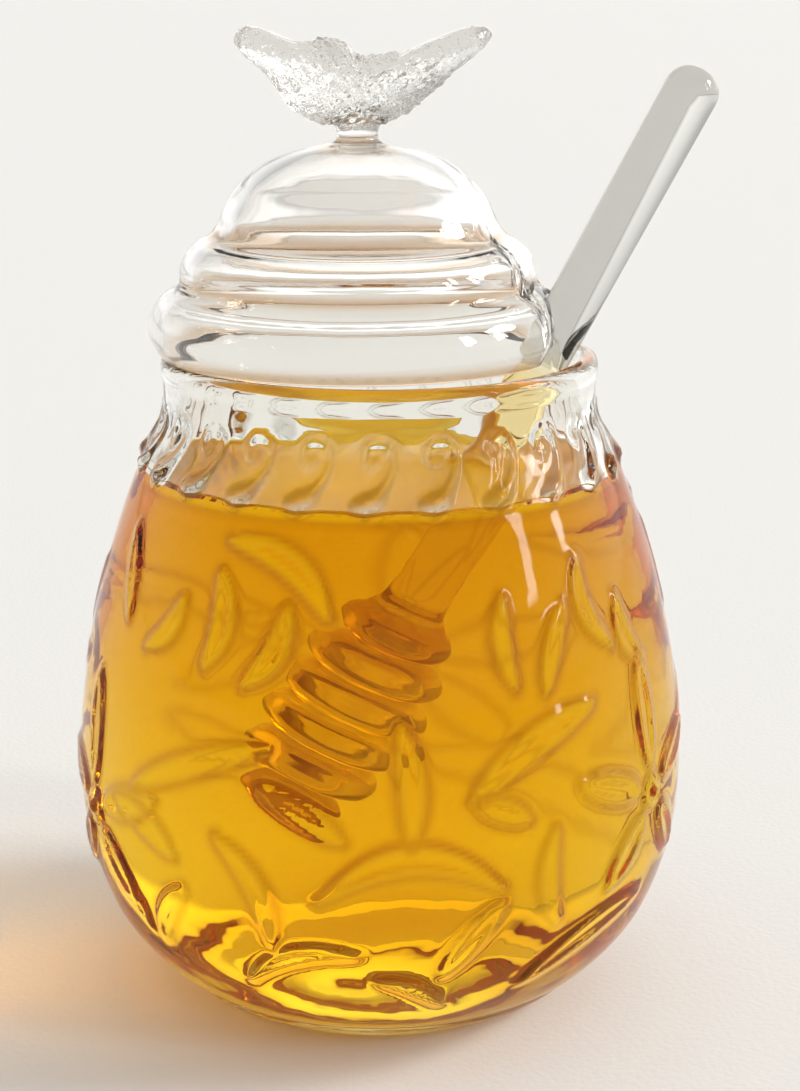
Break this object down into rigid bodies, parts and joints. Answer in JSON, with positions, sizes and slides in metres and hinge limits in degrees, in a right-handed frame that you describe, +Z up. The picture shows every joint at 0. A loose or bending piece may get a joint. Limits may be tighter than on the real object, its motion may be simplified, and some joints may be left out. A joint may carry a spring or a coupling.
{
  "type": "honey jar with dipper",
  "caption": "pressed-glass honey jar filled with honey, with a loose tiered beehive lid topped by a winged knob, and a glass dipper standing in the honey and out through the lid's notch",
  "frame": {"origin": "the centre of the jar's flat base, on the surface that it stands on", "axes": "+Z up along the jar's axis, the front towards -Y, the dipper leaning towards +X"},
  "size_m": [0.1037, 0.1026, 0.1557],
  "materials": {
    "jar_glass": "clear, fire-polished, with pressed relief",
    "honey": "clear golden amber liquid",
    "lid_glass": "clear, fire-polished",
    "dipper_glass": "clear, fire-polished"
  },
  "bodies": {
    "root": {"jar": "jar_glass", "honey": "honey", "lid": "lid_glass", "dipper": "dipper_glass"}
  },
  "joints": []
}
